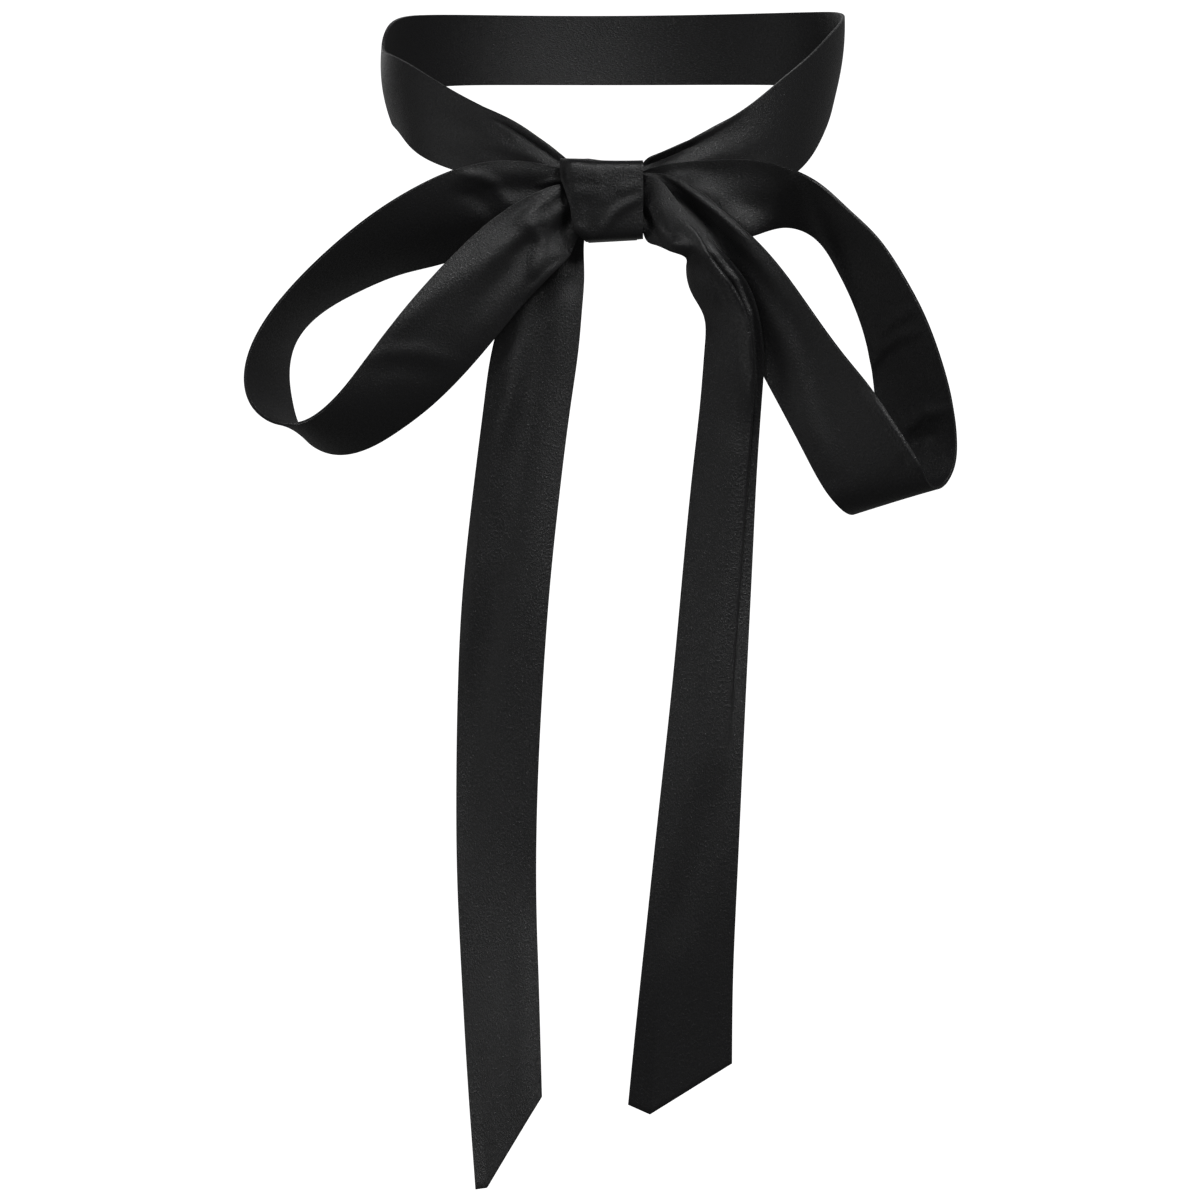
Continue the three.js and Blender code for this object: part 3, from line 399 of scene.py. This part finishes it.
class BowTieSizes(bpy.types.PropertyGroup):
    """Sizes and colours of the bow tie and its stage"""
    wall: FloatProperty(name="Cloth", description="Thickness of the ribbon", default=0.0010,
                        min=0.0004, max=0.002, unit="LENGTH")
    soft_edge: FloatProperty(name="Soft edge", description="Rounding of the ribbon's edges",
                             default=0.0003, min=0.0, max=0.0005, unit="LENGTH")
    steps: IntProperty(name="Steps", description="Sections laid between two given ones", default=12,
                       min=2, max=16)
    across: IntProperty(name="Across", description="Strips across the ribbon", default=80, min=8, max=80)
    satin: FloatVectorProperty(name="Satin", description="Colour of the black satin", subtype="COLOR",
                               default=(0.0030, 0.0030, 0.0035), min=0.0, max=1.0)
    sheen: FloatVectorProperty(name="Sheen", description="Colour of the fine threads that catch light",
                               subtype="COLOR", default=(0.013, 0.013, 0.014), min=0.0, max=1.0)
    roughness: FloatProperty(name="Roughness", description="Roughness of the satin face", default=0.39,
                             min=0.1, max=1.0)
    floor: FloatProperty(name="Floor", description="Height of the floor below the neck", default=-0.9,
                         unit="LENGTH")
    light: FloatProperty(name="Light", description="Strength of the soft lights", default=1.0, min=0.0,
                         max=10.0)


def sizes():
    """The sizes and colours set in the panel."""
    return bpy.context.scene.bow_tie


def natural_curve(stations, values, at):
    """Natural cubic curve through rows of values, read at the given stations."""
    count = len(stations)
    step = np.diff(stations)
    matrix = np.eye(count)
    load = np.zeros(values.shape)
    for i in range(1, count - 1):
        matrix[i, i - 1:i + 2] = step[i - 1], 2 * (step[i - 1] + step[i]), step[i]
        load[i] = 6 * ((values[i + 1] - values[i]) / step[i] - (values[i] - values[i - 1]) / step[i - 1])
    bend = np.linalg.solve(matrix, load)
    i = np.clip(np.searchsorted(stations, at) - 1, 0, count - 2)
    h = step[i][:, None]
    right = (at - stations[i])[:, None] / h
    left = 1 - right
    bowed = (left ** 3 - left) * bend[i] + (right ** 3 - right) * bend[i + 1]
    return left * values[i] + right * values[i + 1] + h * h / 6 * bowed


def front_points(rows, first):
    """Points of the object that the front view shows at x, z when they stand at depth y."""
    x, z, y = rows[:, first], rows[:, first + 1], rows[:, first + 2]
    far = 1 + (y - FRONT) / EYE_AWAY
    return np.stack([EYE_X + (x - EYE_X) * far, y, EYE_Z + (z - EYE_Z) * far], 1)


def neck_points(rows, first):
    """Points on the neck ring, from degrees, height and stand-off."""
    angle, height, out = np.radians(rows[:, first]), rows[:, first + 1], rows[:, first + 2]
    across = (NECK_HALF_ACROSS + out) * np.sin(angle)
    deep = -(NECK_HALF_DEEP + out) * np.cos(angle)
    return np.stack([across, deep, height], 1)


def step_up(value, low, high):
    """Rises smoothly from 0 at low to 1 at high."""
    t = np.clip((value - low) / (high - low), 0, 1)
    return t * t * (3 - 2 * t)


def fold_relief(folds, grid, at):
    """Height of the folds and dents towards the viewer, over a surface with the given stations."""
    far = 1 + (grid[..., 1] - FRONT) / EYE_AWAY
    x = EYE_X + (grid[..., 0] - EYE_X) / far
    z = EYE_Z + (grid[..., 2] - EYE_Z) / far
    height = np.zeros(x.shape)
    for start, end, half, tall, line in folds:
        line = np.array(line, dtype=float)
        runs = np.diff(line, axis=0)
        lengths = np.linalg.norm(runs, axis=1)
        passed = np.r_[0, np.cumsum(lengths)]
        nearest = np.full(x.shape, np.inf)
        where = np.zeros(x.shape)
        for point, run, length, before in zip(line, runs / lengths[:, None], lengths, passed):
            ahead = np.clip((x - point[0]) * run[0] + (z - point[1]) * run[1], 0, length)
            away = np.hypot(x - point[0] - ahead * run[0], z - point[1] - ahead * run[1])
            closer = away < nearest
            nearest = np.where(closer, away, nearest)
            where = np.where(closer, before + ahead, where)
        whole = passed[-1]
        rising = step_up(where, -FOLD_OVERRUN * whole, FOLD_FADE * whole)
        falling = step_up(where, (1 - FOLD_FADE) * whole, (1 + FOLD_OVERRUN) * whole)
        fade = rising * (1 - falling)
        inside = step_up(at, start - FOLD_RAMP, start + FOLD_RAMP)
        inside *= 1 - step_up(at, end - FOLD_RAMP, end + FOLD_RAMP)
        height += tall * np.sqrt(fade) * inside[:, None] * np.exp(-(nearest / half) ** 2)
    return height


def ribbon_surface(first, second, extra, folds):
    """Middle surface of a ribbon, how far each section is from its start, and each strip's share."""
    size = sizes()
    middle = (first + second) / 2
    stations = np.r_[0, np.cumsum(np.linalg.norm(np.diff(middle, axis=0), axis=1))]
    between = [np.linspace(a, b, size.steps, endpoint=False) for a, b in zip(stations, stations[1:])]
    at = np.concatenate(between + [stations[-1:]])
    a = natural_curve(stations, first, at)
    b = natural_curve(stations, second, at)
    crown, gather, pleat = natural_curve(stations, extra, at).T[:, :, None]
    share = np.linspace(0, 1, size.across + 1)
    if pleat.max() > PLEAT_LEAST:
        share = share - CROWDING * np.sin(2 * np.pi * (share - CROWDING_AT))
        share = (share - share[0]) / (share[-1] - share[0])
    across = b - a
    ahead = np.gradient((a + b) / 2, at, axis=0)
    out = np.cross(ahead, across)
    out /= np.linalg.norm(out, axis=1)[:, None]
    chord = np.linalg.norm(across, axis=1)[:, None]
    unit = across / chord
    bow = crown * 4 * share * (1 - share)
    flat_edges = np.sqrt(np.maximum(np.sin(np.pi * share), 0))
    wave = np.maximum(gather, 0) * np.sin(2 * np.pi * GATHER_FOLDS * share) * flat_edges
    strength = np.maximum(pleat, 0)
    t = (share - PLEAT_AT) / PLEAT_REACH
    shift = -strength * PLEAT_BACK * t * np.exp((1 - t * t) / 2)
    layer = strength * PLEAT_LAYERS * 0.5 * (1 + np.tanh(PLEAT_SHARPNESS * t))
    rise = bow + GATHER_DEPTH * wave - layer
    grid = a[:, None] + unit[:, None] * (share * chord + shift)[..., None] + out[:, None] * rise[..., None]
    grid[..., 1] -= fold_relief(folds, grid, at)
    return grid, at, share


def cloth(name, grid, at, share, width, closed=False):
    """A sheet of cloth over a surface, with its wall, soft edges and a map in millimetres."""
    size = sizes()
    rows, columns = grid.shape[:2]
    bpy.ops.object.select_all(action="DESELECT")
    bpy.ops.mesh.primitive_grid_add(x_subdivisions=columns - 1, y_subdivisions=rows - 1, size=2,
                                    calc_uvs=True, location=(0, 0, 0))
    sheet = bpy.context.object
    sheet.name = name
    mesh = sheet.data
    mesh.name = name
    flat = np.empty(len(mesh.vertices) * 3)
    mesh.vertices.foreach_get("co", flat)
    flat = flat.reshape(-1, 3)
    column = np.rint((flat[:, 0] + 1) / 2 * (columns - 1)).astype(int)
    row = np.rint((flat[:, 1] + 1) / 2 * (rows - 1)).astype(int)
    mesh.vertices.foreach_set("co", (grid[row, column] * MM).ravel())
    corner = np.empty(len(mesh.loops), dtype=int)
    mesh.loops.foreach_get("vertex_index", corner)
    weave = mesh.uv_layers[0]
    weave.name = "weave"
    spot = np.stack([share[column[corner]] * width, at[row[corner]]], 1)
    weave.data.foreach_set("uv", spot.ravel())
    mesh.update()
    if closed:
        bpy.ops.object.mode_set(mode="EDIT")
        bpy.ops.mesh.select_all(action="SELECT")
        bpy.ops.mesh.remove_doubles(threshold=1e-6)
        bpy.ops.mesh.normals_make_consistent(inside=False)
        bpy.ops.object.mode_set(mode="OBJECT")
    wall = sheet.modifiers.new("wall", "SOLIDIFY")
    wall.thickness = size.wall
    wall.offset = 0
    edge = sheet.modifiers.new("soft edge", "BEVEL")
    edge.width = size.soft_edge
    edge.segments = EDGE_SEGMENTS
    edge.limit_method = "ANGLE"
    edge.angle_limit = math.radians(EDGE_DEGREES)
    for step in ("wall", "soft edge"):
        bpy.ops.object.modifier_apply(modifier=step)
    bpy.ops.object.shade_smooth()
    return sheet


def pattern(nodes, links, place, scale, detail, roughness):
    """Noise over the cloth's map, stretched by the scale."""
    stretch = nodes.new("ShaderNodeMapping")
    stretch.inputs["Scale"].default_value = scale
    links.new(place.outputs["UV"], stretch.inputs["Vector"])
    noise = nodes.new("ShaderNodeTexNoise")
    noise.inputs["Scale"].default_value = 1.0
    noise.inputs["Detail"].default_value = detail
    noise.inputs["Roughness"].default_value = roughness
    links.new(stretch.outputs["Vector"], noise.inputs["Vector"])
    return noise.outputs["Fac"]


def spread(nodes, links, value, low, high, at_low, at_high):
    """Spreads the part of a pattern between low and high over a range of its own."""
    ramp = nodes.new("ShaderNodeMapRange")
    ramp.inputs["From Min"].default_value = low
    ramp.inputs["From Max"].default_value = high
    ramp.inputs["To Min"].default_value = at_low
    ramp.inputs["To Max"].default_value = at_high
    links.new(value, ramp.inputs["Value"])
    return ramp.outputs["Result"]


def bump(nodes, links, height, strength, depth):
    """A bump node over a pattern."""
    node = nodes.new("ShaderNodeBump")
    node.inputs["Strength"].default_value = strength
    node.inputs["Distance"].default_value = depth
    links.new(height, node.inputs["Height"])
    return node


def satin():
    """Black ribbon satin: long floating threads, a soft directional gloss and a fine sparkle of grain."""
    found = bpy.data.materials.get("black satin")
    if found:
        return found
    size = sizes()
    material = bpy.data.materials.new("black satin")
    material.use_nodes = True
    nodes, links = material.node_tree.nodes, material.node_tree.links
    shader = nodes["Principled BSDF"]
    place = nodes.new("ShaderNodeUVMap")
    place.uv_map = "weave"
    grain = pattern(nodes, links, place, GRAIN_SCALE, GRAIN_DETAIL, GRAIN_ROUGHNESS)
    threads = pattern(nodes, links, place, THREAD_SCALE, THREAD_DETAIL, THREAD_ROUGHNESS)

    colour = nodes.new("ShaderNodeMix")
    colour.data_type = "RGBA"
    colour.inputs["A"].default_value = (*size.satin, 1)
    colour.inputs["B"].default_value = (*size.sheen, 1)
    links.new(spread(nodes, links, grain, PALE_FROM, PALE_TO, 0.0, 1.0), colour.inputs["Factor"])
    links.new(colour.outputs["Result"], shader.inputs["Base Color"])
    gloss = spread(nodes, links, grain, GLOSS_FROM, GLOSS_TO, size.roughness + DULL_MORE,
                   size.roughness - GLOSSY_LESS)
    links.new(gloss, shader.inputs["Roughness"])

    thread_bump = bump(nodes, links, threads, THREAD_STRENGTH, THREAD_DEPTH)
    grain_bump = bump(nodes, links, grain, GRAIN_STRENGTH, GRAIN_DEPTH)
    links.new(thread_bump.outputs["Normal"], grain_bump.inputs["Normal"])
    links.new(grain_bump.outputs["Normal"], shader.inputs["Normal"])

    tangent = nodes.new("ShaderNodeTangent")
    tangent.direction_type = "UV_MAP"
    tangent.uv_map = "weave"
    links.new(tangent.outputs["Tangent"], shader.inputs["Tangent"])
    for name, value in SATIN_FACE.items():
        shader.inputs[name].default_value = value
    return material


def dress(sheet, node):
    """Gives a sheet its satin and its place on the frame, and hides the CAD part of the same piece."""
    sheet.data.materials.clear()
    sheet.data.materials.append(satin())
    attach(sheet, "root")
    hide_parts(node)


def loop(name, node, rows, folds):
    """Adds a bow loop, gathered where it enters the knot."""
    rows = np.array(rows)
    extra = np.column_stack([rows[:, 6:8], np.zeros(len(rows))])
    grid, at, share = ribbon_surface(front_points(rows, 0), front_points(rows, 3), extra, folds)
    dress(cloth(name, grid, at, share, RIBBON_WIDTH), node)


def tail(name, node, rows, folds, corner):
    """Adds a tail, which hangs lowest at the corner of its slanted end."""
    rows = np.array(rows, dtype=float)
    grid, at, share = ribbon_surface(front_points(rows, 0), front_points(rows, 3), rows[:, 6:9], folds)
    place, drop = corner
    low = drop * np.minimum(share / place, (1 - share) / (1 - place))
    grid[..., 2] -= low * step_up(at, at[-1] - CORNER_REACH, at[-1])[:, None]
    dress(cloth(name, grid, at, share, RIBBON_WIDTH), node)


class BOWTIE_OT_neck_band(bpy.types.Operator):
    """Adds the ribbon that goes once round the neck and gathers into the knot"""
    bl_idname = "bowtie.neck_band"
    bl_label = "Neck band"

    def execute(self, context):
        turned = [(row[0] + 360, *row[1:3], row[3] + 360, *row[4:]) for row in reversed(NECK_LEFT)]
        rows = np.array(NECK_RIGHT + [NECK_BACK] + turned)
        extra = np.column_stack([rows[:, 6:8], np.zeros(len(rows))])
        grid, at, share = ribbon_surface(neck_points(rows, 0), neck_points(rows, 3), extra, NECK_FOLDS)
        dress(cloth("neck_ribbon", grid, at, share, RIBBON_WIDTH), "neck_band")
        return {"FINISHED"}


class BOWTIE_OT_left_loop(bpy.types.Operator):
    """Adds the drooping loop on the left of the front view"""
    bl_idname = "bowtie.left_loop"
    bl_label = "Left loop"

    def execute(self, context):
        loop("left_loop_ribbon", "left_loop", LEFT_LOOP, LEFT_LOOP_FOLDS)
        return {"FINISHED"}


class BOWTIE_OT_right_loop(bpy.types.Operator):
    """Adds the longer loop on the right of the front view"""
    bl_idname = "bowtie.right_loop"
    bl_label = "Right loop"

    def execute(self, context):
        loop("right_loop_ribbon", "right_loop", RIGHT_LOOP, RIGHT_LOOP_FOLDS)
        return {"FINISHED"}


class BOWTIE_OT_left_tail(bpy.types.Operator):
    """Adds the longer tail, which turns slowly on its way down"""
    bl_idname = "bowtie.left_tail"
    bl_label = "Left tail"

    def execute(self, context):
        tail("left_tail_ribbon", "left_tail", LEFT_TAIL, LEFT_TAIL_FOLDS, LEFT_CORNER)
        return {"FINISHED"}


class BOWTIE_OT_right_tail(bpy.types.Operator):
    """Adds the tail that leaves the knot sideways and falls with a knife pleat"""
    bl_idname = "bowtie.right_tail"
    bl_label = "Right tail"

    def execute(self, context):
        tail("right_tail_ribbon", "right_tail", RIGHT_TAIL, RIGHT_TAIL_FOLDS, RIGHT_CORNER)
        return {"FINISHED"}


class BOWTIE_OT_knot(bpy.types.Operator):
    """Adds the wrap of the knot round the gathered ribbon"""
    bl_idname = "bowtie.knot"
    bl_label = "Knot"

    def execute(self, context):
        size = sizes()
        angle = np.linspace(0, 2 * np.pi, KNOT_STEPS_AROUND + 1)[:, None]
        slice_at = np.linspace(0, 1, KNOT_STEPS_ACROSS + 1)
        share = slice_at[None, :]
        front, up = np.cos(angle), np.sin(angle)
        reach = (np.abs(front) ** KNOT_SQUARENESS + np.abs(up) ** KNOT_SQUARENESS) ** (-1 / KNOT_SQUARENESS)
        deep, high = front * reach, up * reach
        is_front = step_up(deep, KNOT_FRONT_FROM, KNOT_FRONT_TO)
        heights, edges = np.array(KNOT_LEFT_EDGE).T
        left_edge = natural_curve(heights, edges[:, None], high[:, 0])
        left_end = KNOT_LEFT_BACK + (left_edge - KNOT_LEFT_BACK) * is_front
        right_end = KNOT_RIGHT_BACK + (KNOT_RIGHT_FRONT - KNOT_RIGHT_BACK) * is_front
        across = left_end + (right_end - left_end) * share
        inset = size.wall / MM / 2
        arch = np.sin(np.pi * share)
        half_high = KNOT_HALF_HIGH + KNOT_LEAN * (1 - 2 * share - arch * np.maximum(high, 0))
        more = 1 + KNOT_TUCK_MORE * step_up(high, KNOT_TUCK_MORE_FROM, KNOT_TUCK_MORE_TO)
        near_end = np.exp(-((across - left_end) / KNOT_TUCK_REACH) ** 2)
        tuck = KNOT_TUCK * more * is_front * near_end
        swell = KNOT_SWELL * is_front * arch * (1 - high * high)
        grid = np.stack([
            across,
            KNOT_MIDDLE_Y - deep * (KNOT_HALF_DEEP - inset) - swell + tuck,
            KNOT_MIDDLE_Z + high * (half_high - inset),
        ], 2)
        rise = fold_relief(KNOT_FOLDS, grid, np.full(KNOT_STEPS_AROUND + 1, KNOT_FOLDS_PLACE))
        grid[..., 1] -= rise * step_up(deep, KNOT_FOLDS_FROM, KNOT_FOLDS_TO)
        at = np.r_[0, np.cumsum(np.linalg.norm(np.diff(grid.mean(1), axis=0), axis=1))]
        wrap = cloth("knot_wrap", grid, at, slice_at, KNOT_WIDTH, closed=True)
        dress(wrap, "knot")
        return {"FINISHED"}


class BOWTIE_OT_stage(bpy.types.Operator):
    """Adds the pale floor and backdrop, the soft lights and the camera"""
    bl_idname = "bowtie.stage"
    bl_label = "Stage"

    def execute(self, context):
        size = sizes()
        pale = bpy.data.materials.new("pale backdrop")
        pale.use_nodes = True
        shader = pale.node_tree.nodes["Principled BSDF"]
        shader.inputs["Base Color"].default_value = (COVE_PALE, COVE_PALE, COVE_PALE, 1)
        shader.inputs["Roughness"].default_value = COVE_ROUGHNESS
        shader.inputs["Emission Color"].default_value = (1, 1, 1, 1)
        shader.inputs["Emission Strength"].default_value = COVE_GLOW
        bpy.ops.object.select_all(action="DESELECT")
        bpy.ops.mesh.primitive_grid_add(x_subdivisions=COVE_STEPS_AROUND, y_subdivisions=COVE_STEPS_UP,
                                        size=2, location=(0, 0, 0))
        sweep = context.object
        sweep.name = "backdrop"
        flat, curve = COVE_REACH - COVE_BEND, COVE_BEND * math.pi / 2
        for vertex in sweep.data.vertices:
            around = vertex.co.x * math.pi
            along = (vertex.co.y + 1) / 2 * (flat + curve + COVE_WALL)
            turn = min(max((along - flat) / COVE_BEND, 0), math.pi / 2)
            away = max(min(along, flat), COVE_CENTRE) + COVE_BEND * math.sin(turn)
            z = COVE_BEND * (1 - math.cos(turn)) + max(along - flat - curve, 0)
            vertex.co = (away * math.sin(around), away * math.cos(around), z + size.floor)
        bpy.ops.object.shade_smooth()
        sweep.data.materials.append(pale)
        sweep.visible_glossy = False
        sweep.visible_diffuse = False
        sweep.visible_shadow = False
        sweep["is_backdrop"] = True

        world = bpy.data.worlds.new("studio")
        context.scene.world = world
        world.use_nodes = True
        world.node_tree.nodes["Background"].inputs["Color"].default_value = (1, 1, 1, 1)
        world.node_tree.nodes["Background"].inputs["Strength"].default_value = WORLD_LIGHT
        aim = Vector(LIGHTS_AIM)
        for label, spot, wide, power in LIGHTS:
            bpy.ops.object.light_add(type="AREA", location=spot)
            lamp = context.object
            lamp.name = label
            lamp.data.size = wide
            lamp.data.energy = power * size.light
            lamp.rotation_euler = (aim - Vector(spot)).to_track_quat("-Z", "Y").to_euler()

        bpy.ops.object.camera_add(location=(EYE_X * MM, (FRONT - EYE_AWAY) * MM, EYE_Z * MM),
                                  rotation=(math.pi / 2, 0, 0))
        camera = context.object
        camera.data.sensor_width = SENSOR
        camera.data.lens = LENS
        camera.data.clip_end = FARTHEST
        context.scene.camera = camera
        context.scene.view_settings.view_transform = "Standard"
        return {"FINISHED"}


class BOWTIE_PT_panel(bpy.types.Panel):
    """Lists the pieces of the bow tie"""
    bl_idname = "BOWTIE_PT_panel"
    bl_label = "Self-tie bow tie"
    bl_space_type = "VIEW_3D"
    bl_region_type = "UI"
    bl_category = "Bow tie"

    def draw(self, context):
        for name in BowTieSizes.__annotations__:
            self.layout.prop(context.scene.bow_tie, name)
        for step in STEPS:
            self.layout.operator(step.bl_idname)


STEPS = (BOWTIE_OT_neck_band, BOWTIE_OT_left_loop, BOWTIE_OT_right_loop, BOWTIE_OT_left_tail,
         BOWTIE_OT_right_tail, BOWTIE_OT_knot, BOWTIE_OT_stage)
CLASSES = (BowTieSizes, *STEPS, BOWTIE_PT_panel)


def register():
    for cls in CLASSES:
        bpy.utils.register_class(cls)
    bpy.types.Scene.bow_tie = PointerProperty(type=BowTieSizes)


def unregister():
    del bpy.types.Scene.bow_tie
    for cls in reversed(CLASSES):
        bpy.utils.unregister_class(cls)


def main():
    """Builds the bow tie and its stage, and works out the boxes of the CAD and of the cloth."""
    register()
    bpy.ops.bowtie.neck_band()
    bpy.ops.bowtie.left_loop()
    bpy.ops.bowtie.right_loop()
    bpy.ops.bowtie.left_tail()
    bpy.ops.bowtie.right_tail()
    bpy.ops.bowtie.knot()
    bpy.ops.bowtie.stage()
    boxes = {"cad": CAD_BOX, "visual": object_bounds()}
    boxes = {name: [[float(v) for v in corner] for corner in box] for name, box in boxes.items()}


if __name__ == "__main__":
    main()
